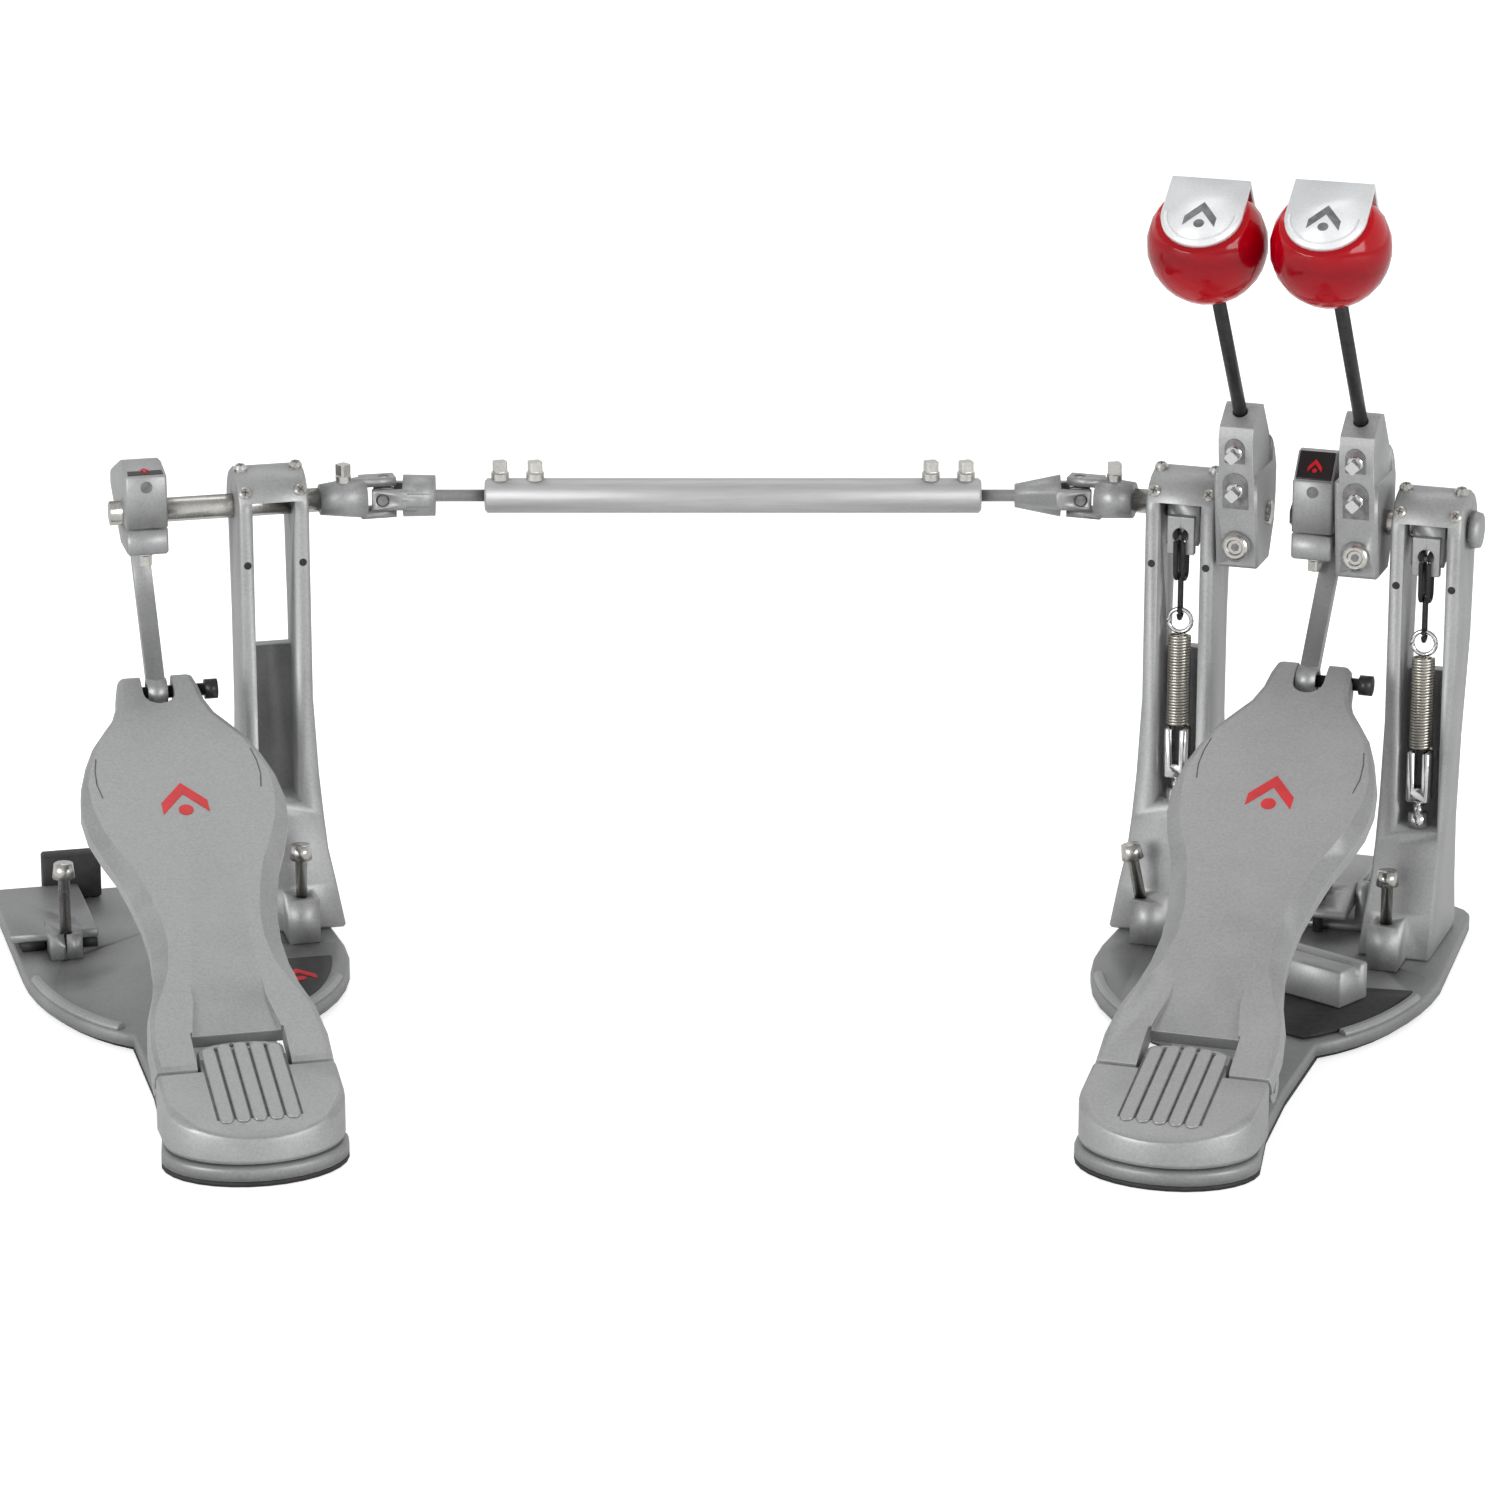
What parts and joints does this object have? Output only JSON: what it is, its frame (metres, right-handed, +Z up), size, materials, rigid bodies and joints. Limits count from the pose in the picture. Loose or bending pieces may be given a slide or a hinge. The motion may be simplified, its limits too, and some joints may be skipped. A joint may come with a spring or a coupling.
{
  "type": "bass drum pedal",
  "caption": "Foot-operated twin drum pedal: two hinged footboards drive spring-returned beaters through rigid straps, rocking cams and a telescopic jointed drive shaft.",
  "frame": {"origin": "the point on the floor straight below the main pedal's axle, midway across its footboard", "axes": "+X along the drive shaft from the remote pedal towards the main pedal, +Y towards the drum, +Z up"},
  "size_m": [0.6629, 0.3701, 0.3667],
  "materials": {
    "die_cast_aluminium": "satin, die cast, with worn bright edges",
    "bright_steel": "bright nickel plate",
    "silver_disc": "pale satin strike face",
    "black_steel": "black semi-gloss coat",
    "black_rubber": "matt, ribbed where it meets the floor",
    "red_plastic": "translucent gloss moulding"
  },
  "bodies": {
    "primary_base": {"primary_base_plate": "die_cast_aluminium", "primary_floor_pad": "black_rubber", "primary_heel_plate": "die_cast_aluminium", "primary_heel_pin": "bright_steel", "inner_column": "die_cast_aluminium", "outer_column": "die_cast_aluminium", "hoop_clamp_bracket": "die_cast_aluminium", "plate_mat": "black_rubber", "key_holder": "die_cast_aluminium", "inner_spring_clevis": "bright_steel", "outer_spring_clevis": "bright_steel", "inner_spring": "bright_steel", "outer_spring": "bright_steel"},
    "beater_axle": {"primary_axle": "bright_steel", "primary_cam": "die_cast_aluminium", "right_beater_holder": "die_cast_aluminium", "outer_rocker": "die_cast_aluminium", "axle_end_cap": "die_cast_aluminium"},
    "primary_strap": {"primary_link": "die_cast_aluminium"},
    "primary_board": {"primary_footboard": "die_cast_aluminium", "primary_toe_pin": "black_steel"},
    "outer_hook": {"outer_spring_hook": "black_steel"},
    "right_beater": {"right_beater_rod": "black_steel", "right_beater_ball": "red_plastic", "right_beater_insert": "silver_disc"},
    "driven_axle": {"inner_axle": "bright_steel", "inner_yoke": "die_cast_aluminium", "left_beater_holder": "die_cast_aluminium", "inner_rocker": "die_cast_aluminium"},
    "inner_hook": {"inner_spring_hook": "black_steel"},
    "left_beater": {"left_beater_rod": "black_steel", "left_beater_ball": "red_plastic", "left_beater_insert": "silver_disc"},
    "driven_cross": {"primary_cross": "bright_steel"},
    "drive_shaft": {"drive_tube": "die_cast_aluminium", "primary_shaft_rod": "die_cast_aluminium"},
    "slave_base": {"slave_base_plate": "die_cast_aluminium", "slave_floor_pad": "black_rubber", "slave_heel_plate": "die_cast_aluminium", "slave_heel_pin": "bright_steel", "slave_column": "die_cast_aluminium", "side_foot": "die_cast_aluminium", "side_foot_rubber": "black_rubber", "rear_bumper": "black_rubber"},
    "driving_axle": {"slave_axle": "bright_steel", "slave_yoke": "die_cast_aluminium", "slave_cam": "die_cast_aluminium"},
    "slave_strap": {"slave_link": "die_cast_aluminium"},
    "slave_board": {"slave_footboard": "die_cast_aluminium", "slave_toe_pin": "black_steel"},
    "driving_cross": {"slave_cross": "bright_steel"},
    "slave_shaft": {"slave_shaft_rod": "die_cast_aluminium"},
    "hoop_jaw": {"hoop_clamp_jaw": "die_cast_aluminium", "hoop_clamp_pad": "black_rubber"},
    "hoop_screw": {"hoop_clamp_screw": "bright_steel"},
    "inner_spur": {"inner_spur_screw": "bright_steel"},
    "outer_spur": {"outer_spur_screw": "bright_steel"},
    "slave_spur": {"slave_spur_screw": "bright_steel"},
    "side_spur": {"side_spur_screw": "bright_steel"}
  },
  "joints": [
    {"name": "primary_swing", "type": "hinge", "parent": "primary_base", "child": "beater_axle", "pos_m": [0, 0, 0.2], "axis": [-0.9483, 0.3173, 0], "range_deg": [-5, 38], "stiffness_Nm_per_rad": 2},
    {"name": "primary_strap_swing", "type": "hinge", "parent": "beater_axle", "child": "primary_strap", "pos_m": [0.00784, 0.02342, 0.208], "axis": [-0.9483, 0.3173, 0], "range_deg": [-48, 7]},
    {"name": "primary_board_press", "type": "hinge", "parent": "primary_base", "child": "primary_board", "pos_m": [-0.07586, -0.22672, 0.02658], "axis": [-0.9483, 0.3173, 0], "range_deg": [-1.5, 8]},
    {"name": "outer_hook_travel", "type": "slide", "parent": "primary_base", "child": "outer_hook", "axis": [0, 0, 1], "range_m": [-0.0015, 0.0095], "deforming": ["outer_spring"]},
    {"name": "right_beater_height", "type": "slide", "parent": "beater_axle", "child": "right_beater", "axis": [-0.1865, -0.5574, 0.809], "range_m": [-0.02, 0.02]},
    {"name": "slave_reach", "type": "slide", "parent": "primary_base", "child": "slave_base", "axis": [1, 0, 0], "range_m": [-0.045, 0.02]},
    {"name": "slave_swing", "type": "hinge", "parent": "slave_base", "child": "driving_axle", "pos_m": [-0.52051, 0.01059, 0.2], "axis": [-0.9703, -0.2419, 0], "range_deg": [-5, 38], "stiffness_Nm_per_rad": 2},
    {"name": "slave_strap_swing", "type": "hinge", "parent": "driving_axle", "child": "slave_strap", "pos_m": [-0.52649, 0.03455, 0.208], "axis": [-0.9703, -0.2419, 0], "range_deg": [-46, 7]},
    {"name": "slave_board_press", "type": "hinge", "parent": "slave_base", "child": "slave_board", "pos_m": [-0.46268, -0.22139, 0.02658], "axis": [-0.9703, -0.2419, 0], "range_deg": [-1.5, 7]},
    {"name": "driven_axle_swing", "type": "hinge", "parent": "primary_base", "child": "driven_axle", "pos_m": [0, 0, 0.2], "axis": [-0.9483, 0.3173, 0], "range_deg": [-6, 39]},
    {"name": "inner_hook_travel", "type": "slide", "parent": "primary_base", "child": "inner_hook", "axis": [0, 0, 1], "range_m": [-0.0015, 0.0095], "deforming": ["inner_spring"]},
    {"name": "left_beater_height", "type": "slide", "parent": "driven_axle", "child": "left_beater", "axis": [-0.1865, -0.5574, 0.809], "range_m": [-0.02, 0.02]},
    {"name": "drive_shaft_spin", "type": "hinge", "parent": "primary_base", "child": "drive_shaft", "pos_m": [-0.10972, 0.03671, 0.2], "axis": [-1, 0, 0], "range_deg": [-6, 39]},
    {"name": "slave_shaft_spin", "type": "hinge", "parent": "slave_base", "child": "slave_shaft", "pos_m": [-0.41572, 0.03671, 0.2], "axis": [-1, 0, 0], "range_deg": [-6, 39]},
    {"name": "driving_cross_tilt", "type": "hinge", "parent": "driving_axle", "child": "driving_cross", "pos_m": [-0.41572, 0.03671, 0.2], "axis": [0, 0, 1], "range_deg": [-6, 6]},
    {"name": "driven_cross_tilt", "type": "hinge", "parent": "driven_axle", "child": "driven_cross", "pos_m": [-0.10972, 0.03671, 0.2], "axis": [0, 0, 1], "range_deg": [-6, 6]},
    {"name": "hoop_jaw_turn", "type": "hinge", "parent": "primary_base", "child": "hoop_jaw", "pos_m": [0.00128, 0.01644, 0.024], "axis": [-0.9483, 0.3173, 0], "range_deg": [-4, 7]},
    {"name": "hoop_screw_travel", "type": "slide", "parent": "hoop_jaw", "child": "hoop_screw", "axis": [0, 0, -1], "range_m": [-0.001, 0.002]},
    {"name": "inner_spur_height", "type": "slide", "parent": "primary_base", "child": "inner_spur", "axis": [-0.1972, 0.066, 0.9781], "range_m": [-0.004, 0.012]},
    {"name": "outer_spur_height", "type": "slide", "parent": "primary_base", "child": "outer_spur", "axis": [0, 0, 1], "range_m": [-0.004, 0.012]},
    {"name": "slave_spur_height", "type": "slide", "parent": "slave_base", "child": "slave_spur", "axis": [0, 0, 1], "range_m": [-0.004, 0.012]},
    {"name": "side_spur_height", "type": "slide", "parent": "slave_base", "child": "side_spur", "axis": [0, 0, 1], "range_m": [-0.004, 0.012]}
  ],
  "couplings": [
    {"joint": "primary_strap_swing", "follows": "primary_swing", "ratio": -1.24},
    {"joint": "primary_board_press", "follows": "primary_swing", "ratio": 0.189},
    {"joint": "outer_hook_travel", "follows": "primary_swing", "m_per_rad": 0.01307},
    {"joint": "slave_strap_swing", "follows": "slave_swing", "ratio": -1.17},
    {"joint": "slave_board_press", "follows": "slave_swing", "ratio": 0.1645},
    {"joint": "driven_axle_swing", "follows": "slave_swing", "ratio": 1},
    {"joint": "inner_hook_travel", "follows": "slave_swing", "m_per_rad": 0.01307},
    {"joint": "drive_shaft_spin", "follows": "slave_swing", "ratio": 1},
    {"joint": "slave_shaft_spin", "follows": "slave_swing", "ratio": 1},
    {"joint": "driving_cross_tilt", "follows": "slave_swing", "ratio": 0.075},
    {"joint": "driven_cross_tilt", "follows": "slave_swing", "ratio": -0.105},
    {"joint": "hoop_screw_travel", "follows": "hoop_jaw_turn", "m_per_rad": 0.012}
  ]
}
